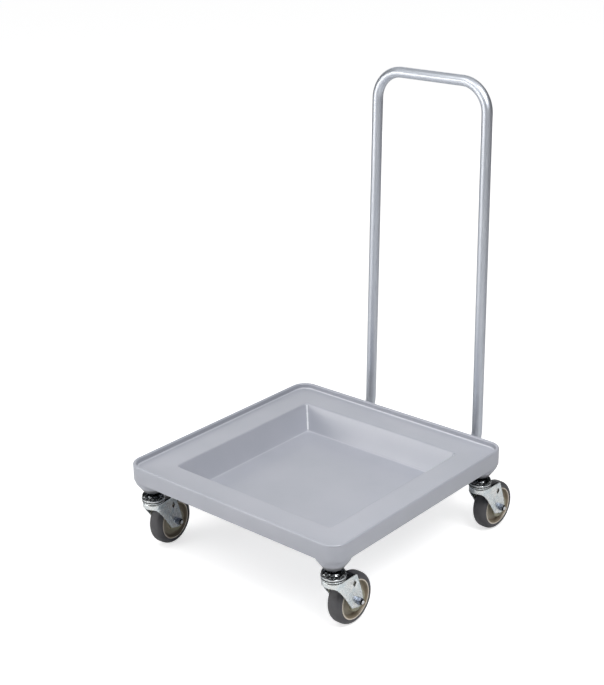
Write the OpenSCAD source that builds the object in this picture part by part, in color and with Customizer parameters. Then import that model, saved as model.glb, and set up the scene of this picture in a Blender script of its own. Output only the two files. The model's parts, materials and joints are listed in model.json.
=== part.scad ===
// Dish rack dolly: a square moulded drip tray on four swivel casters, with a
// tall bent-tube push handle behind it.
// The floor is z = 0, the handle is at the back (+Y), and the origin lies
// under the middle of the overall width and depth. All sizes in millimetres.

/* [Tray] */
// Outer width and depth of the square tray
tray_w = 542; // [500:1:640]
// Outer radius of the tray's corners
tray_r = 35; // [26:1:45]
// Height of the tray's side, from the rim's top to the skirt's lower edge
skirt_h = 36; // [30:1:60]
// Thickness of the skirt below the rim
skirt_t = 5; // [3:0.5:7]
// Height of the rim above the ledge
rim_h = 12; // [6:0.5:18]
// Thickness of the rim
rim_t = 7; // [5:0.5:12]
// Width of the flat ledge that carries the rack
ledge_w = 64; // [50:1:80]
// Thickness of the moulded sheet
tray_t = 4; // [3:0.5:6]
// Depth of the drip well below the ledge
well_depth = 56; // [40:1:60]
// How far the well's walls lean in on their way down
well_run = 20; // [8:1:23]
// Radius of the well's corners at the ledge
well_r = 10; // [5:0.5:20]
// Radius of the well's corners at its floor
floor_r = 4; // [3:0.5:10]
// Thickness of the ribs under the ledge
rib_t = 3; // [2:0.5:5]
// Distance between the ribs
rib_gap = 90; // [60:5:120]
// Height of the ribs' lower edge above the skirt's
rib_up = 5; // [2:0.5:12]

/* [Corner bosses] */
// How far each corner boss reaches below the skirt
boss_drop = 27; // [20:1:40]
// Radius of a boss at its lower end
boss_r = 19; // [16:0.5:24]
// Distance from the tray's side to a caster's swivel axis
caster_inset = 36; // [35:1:45]

/* [Handle] */
// Outer diameter of the handle's tube
tube_d = 22.2; // [18:0.1:26]
// Wall thickness of the tube
tube_t = 1.6; // [1:0.1:2.5]
// Distance between the two uprights at the crossbar, centre to centre
handle_w = 270; // [200:1:290]
// Distance between the two legs under the tray, centre to centre
leg_w = 289; // [220:1:292]
// Distance from the tray's back to the feet of the uprights
handle_gap = 86; // [75:1:140]
// How far the crossbar stands behind the feet of the uprights
handle_lean = 10; // [0:1:60]
// Height of the handle's top above the floor
handle_top = 913; // [600:1:1100]
// Bend radius of the tube's centre line
bend_r = 60; // [45:1:75]
// Distance between the two bolts of each leg
bolt_gap = 90; // [50:1:120]
// Distance from the well floor's rear edge to the rear bolts
bolt_inset = 45; // [25:1:60]
// Length of each leg past its front bolt
leg_past = 25; // [18:1:40]
// Diameter of the handle's bolts
bolt_d = 8; // [6:1:8]

/* [Caster wheel] */
// Diameter of the wheels
wheel_d = 101.6; // [90:0.1:110]
// Width of the tyre
tyre_w = 31.75; // [26:0.25:33]
// Radius of the rim where the tyre is bonded on
hub_r = 39.5; // [36:0.5:42]
// Radius of the tyre's shoulders
shoulder_r = 9; // [4:0.5:11]
// Width of the hub across its faces
hub_w = 30; // [24:0.5:31]
// Diameter of the axle bolt
axle_d = 8; // [6:0.5:9]
// Outer diameter of the axle's steel sleeve
sleeve_d = 12; // [11:0.5:15]
// Outer diameter of the plain bearings in the hub
bearing_d = 18; // [17:0.5:22]

/* [Caster fork] */
// Distance from the swivel axis back to the axle
trail = 46; // [38:1:50]
// Outer width of the fork
fork_w = 44; // [43:0.5:50]
// Thickness of the fork's pressed steel
fork_t = 2.5; // [2:0.25:3.5]
// Room between the tyre's top and the fork's crown
crown_gap = 8.9; // [6:0.1:15]
// Height of the diamond-shaped hole in each leg
diamond_h = 13; // [6:0.5:16]
// Distance from the crown's underside down to the diamond-shaped hole
diamond_drop = 18; // [12:0.5:24]
// Radius of the legs' lower ends
leg_end_r = 13; // [11:0.5:15]
// Width of the diamond-shaped hole
diamond_w = 9; // [5:0.5:12]

/* [Caster swivel] */
// Height of the domed cup over the upper ball race
cup_h = 16; // [14:0.5:22]
// Radius of the cup's flange
cup_r = 23.4; // [22.5:0.1:26]
// Diameter of the threaded stem and king pin
stem_d = 12; // [10:0.5:14]
// Length of the stem above its hexagonal collar
stem_l = 34; // [25:1:40]
// Height of the stem's hexagonal collar
collar_h = 3; // [2:0.5:6]
// Diameter of the balls in the upper race
upper_ball_d = 6; // [4:0.5:6]
// Diameter of the balls in the lower race
lower_ball_d = 5; // [3:0.5:5]

/* [Swivel angles at rest] */
// Front left caster, 0 trails straight back
yaw_front_left = 5.6; // [-180:0.2:180]
// Front right caster
yaw_front_right = 0.4; // [-180:0.2:180]
// Rear left caster
yaw_rear_left = 2; // [-180:0.2:180]
// Rear right caster
yaw_rear_right = -2.4; // [-180:0.2:180]

/* [Hidden] */
$fn = 64;
// Flats round each corner of the well
corner_steps = 8;
// Overlap of cutting tools past the face they cut
cut = 1;
// Radial room of a turning fit, and room between other moving faces
run_gap = 0.06;
free_gap = 0.3;

// Heights above the floor, from the wheels up
wheel_r = wheel_d / 2;
crown_z0 = wheel_d + crown_gap;
crown_z1 = crown_z0 + fork_t;
race_h = 2.5;
race_step = 1.5;
cup_z0 = crown_z1 + race_h + race_step;
cup_z1 = cup_z0 + cup_h;
boss_z = cup_z1 + collar_h;
skirt_z = boss_z + boss_drop;
cone_z = boss_z + boss_drop * 0.8;
rim_z = skirt_z + skirt_h;
ledge_z = rim_z - rim_h;
ledge_z0 = ledge_z - tray_t;
floor_z = ledge_z - well_depth;
floor_z0 = floor_z - tray_t;

// Plan sizes of the tray
tray_half = tray_w / 2;
well_half = tray_half - rim_t - ledge_w;
floor_half = well_half - well_run;
wall_lean = well_run / well_depth;
wall_out = tray_t * sqrt(1 + wall_lean * wall_lean);
stem_xy = tray_half - caster_inset;
rib_lap = wall_out + (ledge_z - skirt_z) * wall_lean;

// The handle, measured from the tray's middle
tube_r = tube_d / 2;
// The tube is a hair fuller round its bends, and its straight lengths lap into them
bend_swell = 0.1;
bend_lap = 0.5;
leg_x = leg_w / 2;
bar_x = handle_w / 2;
leg_y = tray_half + handle_gap;
bar_y = leg_y + handle_lean;
bar_z = handle_top - tube_r - bend_swell;
pad_gap = 0.2;
insert_skin = 2;
insert_l = 10;
leg_z = floor_z - insert_skin - insert_l - pad_gap - tube_r;
pad_h = 5;
pad_w = 34;
pad_l = 30;
bolt_y1 = floor_half - bolt_inset;
bolt_y0 = bolt_y1 - bolt_gap;
leg_end_y = bolt_y0 - leg_past;
// Corners of the tube's centre line, from one leg's end to the other's
HANDLE_PATH = [[-leg_x, leg_end_y, leg_z], [-leg_x, leg_y, leg_z], [-bar_x, bar_y, bar_z],
    [bar_x, bar_y, bar_z], [leg_x, leg_y, leg_z], [leg_x, leg_end_y, leg_z]];
bolt_r = bolt_d / 2;
bolt_room = 0.25;
insert_r = bolt_r + 1.75;
saddle_r = 9;
saddle_h = 5;
saddle_sink = 2;
saddle_z0 = leg_z - tube_r - saddle_h + saddle_sink;
head_h = bolt_d * 0.66;
head_r = bolt_d * 0.938;

// Middle of the overall depth, which is moved over the origin
depth_mid = (bar_y + tube_r + bend_swell - tray_half) / 2;

// The caster's swivel, radii about its axis
stem_r = stem_d / 2;
collar_r = stem_r + 6.5;
insert_wall = 2.5;
insert_h = stem_l + 2;
lip_t = 2;
race_edge = 1;
cup_edge = 4;
upper_ball_z = cup_z0 + upper_ball_d / 4;
upper_roof_z = cup_z0 + upper_ball_d / 2;
upper_pitch_r = cup_r - lip_t - free_gap - race_edge - upper_ball_d / 2;
apron_z = crown_z0 - 8;
lower_race_h = 2;
lower_race_z = crown_z0 - lower_race_h;
lower_ball_z = lower_race_z - lower_ball_d / 4;
lower_cup_z1 = lower_race_z - lower_ball_d / 2;
lower_cup_h = 3.3;
lower_cup_z0 = lower_cup_z1 - lower_cup_h;
lower_pitch_r = stem_r + 3.5 + lower_ball_d / 2;
lower_cup_r = lower_pitch_r + lower_ball_d / 2 + race_edge;
rivet_h = 2.2;
rivet_r = stem_r + 2;
rivet_edge = 1;
ball_spacing = 1.12;

// The wheel, half widths from its middle
fork_half = fork_w / 2;
fork_in = fork_half - fork_t;
guard_t = 2;
guard_lip = 1.6;
guard_edge = 1.5;
guard_r = bearing_d * 1.222;
sleeve_half = fork_in - guard_t;
axle_r = axle_d / 2;
axle_head_h = axle_d * 0.66;
nut_h = axle_d;
nut_r = axle_d * 0.938;
axle_end = 3;
hub_half = hub_w / 2;
hub_rim_t = 4;
hub_dish = 8;

// Leads of the threads
stem_lead = stem_d * 0.146;
axle_lead = axle_d * 0.156;
bolt_lead = bolt_d * 0.156;

CASTERS = ["front_left", "front_right", "rear_left", "rear_right"];
CASTER_PARTS = ["boss", "stem", "top_cup", "lower_cup", "balls", "fork", "axle_bolt", "axle_nut",
    "axle_sleeve", "thread_guards", "hub", "bearings", "tyre"];

// Shared shapes

// A square block with upright sides and round corners
module rounded_block(half, r, z0, z1) {
    flat = half - r;
    translate([-half, -flat, z0]) cube([2 * half, 2 * flat, z1 - z0]);
    translate([-flat, -half, z0]) cube([2 * flat, 2 * half, z1 - z0]);
    for (x = [-flat, flat], y = [-flat, flat])
        translate([x, y, z0]) cylinder(r = r, h = z1 - z0);
}

// Points round a square of corner radius r, anticlockwise, at the height z
function square_ring(half, r, z) =
    [for (quarter = [0 : 3], i = [0 : corner_steps])
        let (turn = 90 * quarter, a = turn + 90 * i / corner_steps, out = (half - r) * sqrt(2))
        [out * cos(turn + 45) + r * cos(a), out * sin(turn + 45) + r * sin(a), z]];

// A square block with round corners, whose sides lean in on their way down
module leaning_block(half0, r0, z0, half1, r1, z1) {
    n = 4 * (corner_steps + 1);
    polyhedron(concat(square_ring(half0, r0, z0), square_ring(half1, r1, z1)), concat(
        [[for (i = [0 : n - 1]) i], [for (i = [n - 1 : -1 : 0]) n + i]],
        [for (i = [0 : n - 1]) [i, n + i, n + (i + 1) % n, (i + 1) % n]]));
}

// A ring cut for balls: a torus about the Z axis
module ball_groove(pitch_r, z, ball_d) {
    rotate_extrude() translate([pitch_r, z]) circle(d = ball_d + 2 * run_gap);
}

// A ring of balls
module ball_ring(pitch_r, z, ball_d) {
    count = floor(2 * PI * pitch_r / (ball_d * ball_spacing));
    for (i = [0 : count - 1]) rotate([0, 0, 360 * i / count])
        translate([pitch_r, 0, z]) sphere(d = ball_d, $fn = 32);
}

// Threads as a stack of grooves: a profile from z0 to z1 on a shaft of radius r
function thread_points(r, z0, z1, pitch) =
    let (turns = floor((z1 - z0) / pitch), depth = pitch * 0.54)
    [for (i = [0 : turns - 1]) each [[r, z0 + i * pitch], [r - depth, z0 + (i + 0.5) * pitch]],
        [r, z0 + turns * pitch]];

module threaded_shaft(r, z0, z1, thread_z0, pitch) {
    rotate_extrude() polygon(concat([[0, z0], [r, z0]], thread_points(r, thread_z0, z1, pitch),
        [[r, z1], [0, z1]]));
}

// Everything is drawn about the tray's middle and then moved over the origin
module placed() {
    translate([0, -depth_mid, 0]) children();
}

// A caster's pieces are drawn about its swivel axis, trailing towards +Y
function caster_x(name) = (name[0] == "f" ? name[6] : name[5]) == "l" ? -stem_xy : stem_xy;
function caster_y(name) = name[0] == "f" ? -stem_xy : stem_xy;
function caster_yaw(name) = name == "front_left" ? yaw_front_left
    : name == "front_right" ? yaw_front_right
    : name == "rear_left" ? yaw_rear_left : yaw_rear_right;

module at_caster(name, yaw = 0) {
    placed() translate([caster_x(name), caster_y(name), 0]) rotate([0, 0, yaw]) children();
}

// Turns a shape drawn about Z so that it lies about the axle
module about_axle() {
    translate([0, trail, wheel_r]) rotate([0, 90, 0]) children();
}

// Tray

// The drip well's inner shape, grown outwards by out, from z0 up to z1
module well_block(out, z0, z1) {
    lean_r = (well_r - floor_r) / well_depth;
    h0 = z0 - floor_z;
    h1 = z1 - floor_z;
    leaning_block(floor_half + out + h0 * wall_lean, floor_r + out + h0 * lean_r, z0,
        floor_half + out + h1 * wall_lean, floor_r + out + h1 * lean_r, z1);
}

// The rim, the ledge that the rack stands on, and the skirt
module tray() {
    color([0.66, 0.68, 0.72]) placed() difference() {
        rounded_block(tray_half, tray_r, skirt_z, rim_z);
        rounded_block(tray_half - rim_t, tray_r - rim_t, ledge_z, rim_z + cut);
        rounded_block(tray_half - skirt_t, tray_r - skirt_t, skirt_z - cut, ledge_z0);
        well_block(0, floor_z, ledge_z + cut);
    }
}

// The drip well under the ledge, with the pads that the handle's legs are bolted to
module tray_well() {
    color([0.66, 0.68, 0.72]) placed() difference() {
        union() {
            well_block(wall_out, floor_z0, ledge_z0);
            for (x = [-leg_x, leg_x], y = [bolt_y0, bolt_y1])
                translate([x - pad_w / 2, y - pad_l / 2, leg_z + tube_r - pad_h])
                    cube([pad_w, pad_l, floor_z - leg_z - tube_r + pad_h]);
        }
        well_block(0, floor_z, ledge_z0 + cut);
        for (x = [-leg_x, leg_x]) {
            translate([x, bolt_y1 + pad_l, leg_z]) rotate([90, 0, 0])
                cylinder(r = tube_r + pad_gap, h = bolt_gap + 2 * pad_l);
            for (y = [bolt_y0, bolt_y1]) translate([x, y, leg_z])
                cylinder(r = insert_r, h = floor_z - insert_skin - leg_z);
        }
    }
}

module tray_ribs() {
    rib_n = floor((well_half - tray_r) / rib_gap);
    rib_in = well_half + wall_out - rib_lap;
    color([0.66, 0.68, 0.72]) placed() difference() {
        for (turn = [0 : 90 : 270]) rotate([0, 0, turn])
            for (i = [-rib_n : rib_n]) translate([rib_in, i * rib_gap - rib_t / 2, skirt_z + rib_up])
                cube([tray_half - skirt_t - rib_in, rib_t, ledge_z0 - skirt_z - rib_up]);
        well_block(wall_out, floor_z0, ledge_z);
    }
}

// The boss in the tray's corner that the caster's stem is screwed into
module boss(name) {
    color([0.66, 0.68, 0.72]) difference() {
        intersection() {
            placed() union() {
                rounded_block(tray_half, tray_r, boss_z - cut, skirt_z);
                rounded_block(tray_half - skirt_t, tray_r - skirt_t, boss_z - cut, ledge_z0);
            }
            at_caster(name) rotate_extrude()
                polygon([[0, boss_z], [boss_r, boss_z], [tray_r, cone_z], [tray_r, ledge_z0],
                    [0, ledge_z0]]);
        }
        placed() well_block(wall_out, floor_z0, ledge_z);
        at_caster(name) translate([0, 0, boss_z - cut])
            cylinder(r = stem_r + insert_wall, h = insert_h + cut);
    }
}

// Handle

function unit(v) = v / norm(v);

// Points a shape's Z axis along v
module along(v) {
    rotate([0, acos(v[2] / norm(v)), atan2(v[1], v[0])]) children();
}

// A straight length of round bar from p to q, which laps into the bends at its ends
module straight(p, q, r, lap_p, lap_q) {
    translate(p - unit(q - p) * lap_p) along(q - p) cylinder(r = r, h = norm(q - p) + lap_p + lap_q);
}

// A round bar of radius r bent at the corner q on its way from p to s
module bend(p, q, s, r) {
    to_q = unit(q - p);
    to_s = unit(s - q);
    turn = acos(to_q * to_s);
    inward = unit(to_s - to_q * (to_q * to_s));
    start = q - to_q * bend_r * tan(turn / 2);
    side = cross(-inward, to_q);
    multmatrix([
        [-inward[0], to_q[0], side[0], start[0] + inward[0] * bend_r],
        [-inward[1], to_q[1], side[1], start[1] + inward[1] * bend_r],
        [-inward[2], to_q[2], side[2], start[2] + inward[2] * bend_r]])
        rotate_extrude(angle = turn) translate([bend_r, 0]) circle(r = r + bend_swell);
}

// Where the straight that comes from the corner p ends before the corner q
function bend_start(p, q, s) =
    q - unit(q - p) * bend_r * tan(acos(unit(q - p) * unit(s - q)) / 2);

// The whole bent bar along the handle's path, solid, at radius r
module bent_bar(r) {
    path = HANDLE_PATH;
    last = len(path) - 1;
    for (i = [0 : last - 1])
        straight(i == 0 ? path[0] : bend_start(path[i + 1], path[i], path[i - 1]),
            i == last - 1 ? path[last] : bend_start(path[i], path[i + 1], path[i + 2]), r,
            i == 0 ? 0 : bend_lap, i == last - 1 ? 0 : bend_lap);
    for (i = [1 : last - 1]) bend(path[i - 1], path[i], path[i + 1], r);
}

module handle() {
    bore_r = tube_r - tube_t;
    color([0.75, 0.77, 0.8]) placed() difference() {
        bent_bar(tube_r);
        bent_bar(bore_r);
        for (x = [-leg_x, leg_x]) {
            translate([x, leg_end_y - cut, leg_z]) rotate([-90, 0, 0]) cylinder(r = bore_r, h = 2 * cut);
            for (y = [bolt_y0, bolt_y1]) translate([x, y, leg_z - tube_r - cut])
                cylinder(r = bolt_r + bolt_room, h = tube_d + 2 * cut);
        }
    }
}

module handle_plugs() {
    flange_t = 3;
    flange_edge = 1.5;
    spigot_l = 12;
    color([0.12, 0.12, 0.13]) placed()
        for (x = [-leg_x, leg_x]) translate([x, leg_end_y, leg_z]) rotate([90, 0, 0]) {
            cylinder(r1 = tube_r, r2 = tube_r - flange_edge, h = flange_t);
            translate([0, 0, -spigot_l]) cylinder(r = tube_r - tube_t, h = spigot_l);
        }
}

module at_handle_bolts() {
    placed() for (x = [-leg_x, leg_x], y = [bolt_y0, bolt_y1]) translate([x, y, 0]) children();
}

// A threaded bush of outer radius r1 round a bore of radius r0
module bush(r0, r1, h) {
    difference() {
        cylinder(r = r1, h = h);
        translate([0, 0, -cut]) cylinder(r = r0, h = h + 2 * cut);
    }
}

// The brass bushes that are moulded in for the casters' stems and the handle's bolts
module inserts() {
    color([0.75, 0.62, 0.32]) {
        for (name = CASTERS) at_caster(name)
            translate([0, 0, boss_z]) bush(stem_r, stem_r + insert_wall, insert_h);
        at_handle_bolts() translate([0, 0, floor_z - insert_skin - insert_l]) bush(bolt_r, insert_r, insert_l);
    }
}

module handle_saddles() {
    color([0.6, 0.62, 0.65]) at_handle_bolts() difference() {
        translate([0, 0, saddle_z0]) cylinder(r = saddle_r, h = saddle_h);
        translate([0, saddle_r + cut, leg_z]) rotate([90, 0, 0])
            cylinder(r = tube_r, h = 2 * (saddle_r + cut));
        translate([0, 0, saddle_z0 - cut]) cylinder(r = bolt_r + bolt_room, h = saddle_h + 2 * cut);
    }
}

module handle_bolts() {
    top = floor_z - insert_skin - bolt_room;
    color([0.75, 0.76, 0.78]) at_handle_bolts() {
        translate([0, 0, saddle_z0 - head_h]) cylinder(r = head_r, h = head_h, $fn = 6);
        threaded_shaft(bolt_r, saddle_z0, top, leg_z + tube_r, bolt_lead);
    }
}

// Caster swivel

module stem(name) {
    color([0.75, 0.76, 0.78]) at_caster(name) {
        threaded_shaft(stem_r, lower_cup_z0 - rivet_h, boss_z + stem_l, boss_z + stem_lead, stem_lead);
        translate([0, 0, cup_z1]) difference() {
            cylinder(r = collar_r, h = collar_h, $fn = 6);
            translate([0, 0, -cut]) cylinder(r = stem_r / 2, h = collar_h + 2 * cut);
        }
        translate([0, 0, lower_cup_z0 - rivet_h])
            cylinder(r1 = rivet_r - rivet_edge, r2 = rivet_r, h = rivet_h);
    }
}

// The domed cup that covers the upper race
module top_cup(name) {
    dome_r = cup_r - race_edge - collar_r;
    dome_h = cup_h - cup_edge;
    dome = [for (a = [0 : 15 : 90]) [collar_r + dome_r * sin(a), cup_z0 + cup_edge + dome_h * cos(a)]];
    color([0.82, 0.84, 0.86]) at_caster(name) difference() {
        rotate_extrude() polygon(concat(
            [[stem_r, upper_roof_z], [stem_r, cup_z1]], dome,
            [[cup_r, cup_z0 + cup_edge - race_edge / 2], [cup_r, cup_z0], [cup_r - lip_t, cup_z0],
                [cup_r - lip_t, upper_roof_z]]));
        ball_groove(upper_pitch_r, upper_ball_z, upper_ball_d);
    }
}

// The small cup that the king pin is riveted over, under the crown
module lower_cup(name) {
    color([0.7, 0.71, 0.73]) at_caster(name) difference() {
        rotate_extrude() polygon([[stem_r, lower_cup_z0], [lower_cup_r - lower_cup_h / 2, lower_cup_z0],
            [lower_cup_r, lower_cup_z0 + lower_cup_h / 2], [lower_cup_r, lower_cup_z1],
            [stem_r, lower_cup_z1]]);
        ball_groove(lower_pitch_r, lower_ball_z, lower_ball_d);
    }
}

module balls(name) {
    color([0.8, 0.8, 0.82]) at_caster(name, caster_yaw(name)) {
        ball_ring(upper_pitch_r, upper_ball_z, upper_ball_d);
        ball_ring(lower_pitch_r, lower_ball_z, lower_ball_d);
    }
}

// Caster fork

// Side view of the fork: along the trail, and height
module leg_outline() {
    front = -fork_half - cut;
    toe = leg_end_r - 2;
    heel = trail - 4;
    polygon(concat(
        [[front, apron_z], [-fork_half * 0.64, apron_z - 2], [-5, apron_z - leg_end_r],
            [trail * 0.174, wheel_r * 1.413], [trail - toe - 8, wheel_r - toe + 3],
            [trail - toe - 4, wheel_r - toe]],
        [for (a = [245 : 10 : 385]) [trail + leg_end_r * cos(a), wheel_r + leg_end_r * sin(a)]],
        [[trail + 9, wheel_r * 1.315], [heel + 1, crown_z0 - 6], [heel, crown_z0 - 2.5],
            [heel - 4, crown_z0 - 0.5], [trail * 0.4, crown_z1], [front, crown_z1]]));
}

module fork_blank(half, z1, length) {
    cylinder(r = half, h = z1);
    translate([-half, 0, 0]) cube([2 * half, length, z1]);
}

// The diamond-shaped hole through both legs
module diamonds() {
    translate([-fork_half - cut, trail - leg_end_r + 1.5, crown_z0 - diamond_drop]) rotate([90, 0, 90])
        linear_extrude(fork_w + 2 * cut) polygon([[0, -diamond_h / 2], [diamond_w / 2, 0],
            [0, diamond_h / 2], [-diamond_w / 2, 0]]);
}

module fork(name) {
    length = trail + leg_end_r + cut;
    color([0.8, 0.82, 0.84]) at_caster(name, caster_yaw(name)) difference() {
        union() {
            difference() {
                intersection() {
                    fork_blank(fork_half, crown_z1, length);
                    rotate([90, 0, 90]) translate([0, 0, -fork_half - cut])
                        linear_extrude(fork_w + 2 * cut) leg_outline();
                }
                translate([0, 0, -cut]) fork_blank(fork_in, crown_z0 + cut, length + cut);
            }
            translate([0, 0, crown_z1]) cylinder(r = cup_r - race_edge / 2, h = race_h);
            translate([0, 0, crown_z1]) cylinder(r = cup_r - lip_t - free_gap, h = race_h + race_step);
            translate([0, 0, lower_race_z])
                cylinder(r = lower_cup_r - race_edge / 2, h = lower_race_h + fork_t);
        }
        translate([0, 0, lower_race_z - cut])
            cylinder(r = stem_r + free_gap, h = cup_z0 - lower_race_z + 2 * cut);
        ball_groove(upper_pitch_r, upper_ball_z, upper_ball_d);
        ball_groove(lower_pitch_r, lower_ball_z, lower_ball_d);
        about_axle() translate([0, 0, -fork_half - cut]) cylinder(r = axle_r, h = fork_w + 2 * cut);
        diamonds();
    }
}

module axle_bolt(name) {
    color([0.72, 0.73, 0.75]) at_caster(name, caster_yaw(name)) about_axle() {
        translate([0, 0, -fork_half - axle_head_h]) cylinder(r = nut_r, h = axle_head_h, $fn = 6);
        threaded_shaft(axle_r, -fork_half, fork_half + nut_h + axle_end, fork_half, axle_lead);
    }
}

// A lock nut: its hexagon, and the round crown that stands out of it
module axle_nut(name) {
    color([0.72, 0.73, 0.75]) at_caster(name, caster_yaw(name)) about_axle() translate([0, 0, fork_half])
        difference() {
            union() {
                cylinder(r = nut_r, h = nut_h * 0.75, $fn = 6);
                cylinder(r1 = nut_r * 0.84, r2 = nut_r * 0.78, h = nut_h);
            }
            translate([0, 0, -cut]) cylinder(r = axle_r, h = nut_h + 2 * cut);
        }
}

module axle_sleeve(name) {
    color([0.65, 0.66, 0.68]) at_caster(name, caster_yaw(name)) about_axle() difference() {
        translate([0, 0, -sleeve_half]) cylinder(d = sleeve_d, h = 2 * sleeve_half);
        translate([0, 0, -sleeve_half - cut]) cylinder(r = axle_r, h = 2 * (sleeve_half + cut));
    }
}

// Dished discs that keep string and hair out of the bearings
module thread_guards(name) {
    lip_x = hub_half + 2 * free_gap;
    color([0.55, 0.52, 0.44]) at_caster(name, caster_yaw(name)) about_axle()
        for (side = [0, 1]) mirror([0, 0, side]) rotate_extrude()
            polygon([[axle_r, sleeve_half], [guard_r - guard_lip, sleeve_half],
                [guard_r - guard_lip, lip_x], [guard_r, lip_x], [guard_r, fork_in - guard_edge], [guard_r - guard_edge, fork_in],
                [axle_r, fork_in]]);
}

// Wheel

// A profile from its middle out to one face, and back over its mirror image
function both_sides(points) =
    concat(points, [for (i = [len(points) - 1 : -1 : 0]) [points[i][0], -points[i][1]]]);

module hub(name) {
    rim_in = hub_r - hub_rim_t;
    web = hub_half - hub_dish;
    boss = guard_r - hub_rim_t;
    color([0.6, 0.57, 0.5]) at_caster(name, caster_yaw(name)) about_axle() rotate_extrude()
        polygon(both_sides([[hub_r, hub_half], [rim_in + 1, hub_half], [rim_in, hub_half - 1],
            [rim_in - 1, web + 2], [rim_in - 3, web], [guard_r + 2, web], [guard_r, web + 1],
            [boss, hub_half], [bearing_d / 2, hub_half]]));
}

module bearings(name) {
    color([0.85, 0.84, 0.8]) at_caster(name, caster_yaw(name)) about_axle()
        for (side = [0, 1]) mirror([0, 0, side]) difference() {
            translate([0, 0, cut]) cylinder(r = bearing_d / 2, h = hub_half - cut);
            cylinder(r = sleeve_d / 2 + run_gap, h = hub_w);
        }
}

module tyre(name) {
    flat = tyre_w / 2 - shoulder_r;
    color([0.27, 0.27, 0.29]) at_caster(name, caster_yaw(name)) about_axle() rotate_extrude()
        polygon(both_sides(concat(
            [for (a = [0 : 10 : 90]) [wheel_r - shoulder_r * (1 - cos(a)), flat + shoulder_r * sin(a)]],
            [[hub_r + 1, tyre_w / 2], [hub_r, hub_half]])));
}

// Draws one piece of the caster called name
module caster_part(name, part) {
    if (part == "boss") boss(name);
    if (part == "stem") stem(name);
    if (part == "top_cup") top_cup(name);
    if (part == "lower_cup") lower_cup(name);
    if (part == "balls") balls(name);
    if (part == "fork") fork(name);
    if (part == "axle_bolt") axle_bolt(name);
    if (part == "axle_nut") axle_nut(name);
    if (part == "axle_sleeve") axle_sleeve(name);
    if (part == "thread_guards") thread_guards(name);
    if (part == "hub") hub(name);
    if (part == "bearings") bearings(name);
    if (part == "tyre") tyre(name);
}

tray();
tray_well();
tray_ribs();
inserts();
handle();
handle_plugs();
handle_saddles();
handle_bolts();
for (name = CASTERS, part = CASTER_PARTS)
    caster_part(name, part);
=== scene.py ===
# %% [markdown]
# # A dish rack dolly, dressed piece by piece
# The object is a square drip tray on four swivel casters, with a tall bent-tube handle behind it.
# A CAD model gives every piece its place and its joints, and this script gives the pieces their
# looks. First the CAD model is loaded as a fixed frame.

import json
import math

import bmesh
import bpy
import numpy as np
from mathutils import Matrix, Vector

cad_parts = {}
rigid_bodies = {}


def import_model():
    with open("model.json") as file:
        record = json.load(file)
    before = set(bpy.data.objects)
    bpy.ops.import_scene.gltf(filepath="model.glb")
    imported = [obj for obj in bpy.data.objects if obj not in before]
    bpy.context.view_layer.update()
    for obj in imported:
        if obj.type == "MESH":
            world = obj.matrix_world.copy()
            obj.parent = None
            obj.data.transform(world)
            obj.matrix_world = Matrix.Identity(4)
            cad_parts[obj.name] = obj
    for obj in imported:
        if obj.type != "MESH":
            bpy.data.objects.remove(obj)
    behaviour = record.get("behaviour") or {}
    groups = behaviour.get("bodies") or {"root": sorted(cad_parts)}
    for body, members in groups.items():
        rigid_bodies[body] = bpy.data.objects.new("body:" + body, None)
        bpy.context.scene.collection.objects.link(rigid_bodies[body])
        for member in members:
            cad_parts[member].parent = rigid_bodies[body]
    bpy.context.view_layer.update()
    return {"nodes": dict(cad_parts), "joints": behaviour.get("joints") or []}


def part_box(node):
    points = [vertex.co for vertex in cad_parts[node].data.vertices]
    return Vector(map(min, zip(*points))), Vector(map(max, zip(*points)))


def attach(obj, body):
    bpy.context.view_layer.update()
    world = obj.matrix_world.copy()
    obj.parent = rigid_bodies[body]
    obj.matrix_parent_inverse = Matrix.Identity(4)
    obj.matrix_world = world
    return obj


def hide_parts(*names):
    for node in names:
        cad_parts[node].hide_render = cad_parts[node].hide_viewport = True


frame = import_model()
MM = 0.001

# %% [markdown]
# ## The camera
# A product photograph is matched by finding where its camera stood. Straight edges of the tray,
# the tube and the wheels give the angles, the distance and the focal length. The camera could
# also be aimed with a tracking constraint, but a matrix built from the three angles keeps the
# small roll too.

# %% Camera
azimuth, elevation, roll = (math.radians(a) for a in (41.1065, 21.3291, -0.8831))
FOCAL_PX, LONG_SIDE_PX = 1364.2915, 685
camera_place = Vector((1.60359, -1.93329, 1.40439))

back = Vector(
    (
        math.sin(azimuth) * math.cos(elevation),
        -math.cos(azimuth) * math.cos(elevation),
        math.sin(elevation),
    )
)
level = Vector((math.cos(azimuth), math.sin(azimuth), 0))
upright = back.cross(level)
right = level * math.cos(roll) + upright * math.sin(roll)
up = upright * math.cos(roll) - level * math.sin(roll)

lens = bpy.data.cameras.new("photo_camera")
lens.sensor_fit = "AUTO"
lens.sensor_width = 36
lens.lens = lens.sensor_width * FOCAL_PX / LONG_SIDE_PX
lens.clip_end = 60
camera = bpy.data.objects.new("photo_camera", lens)
camera.matrix_world = Matrix((right, up, back)).transposed().to_4x4()
camera.location = camera_place
bpy.context.scene.collection.objects.link(camera)
bpy.context.scene.camera = camera
print("lens", round(lens.lens, 2), "mm")

# %% [markdown]
# ## Colours
# A colour picked from a picture is in sRGB, and the shader wants linear light. One helper turns
# the usual 0 to 255 numbers into linear ones, so that every colour below can be read like a paint
# chip.


# %% Colours
def paint(red, green, blue):
    def linear(v):
        v /= 255
        return v / 12.92 if v <= 0.04045 else ((v + 0.055) / 1.055) ** 2.4

    return (linear(red), linear(green), linear(blue), 1.0)


print("mid grey", [round(c, 3) for c in paint(128, 128, 128)])

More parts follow.
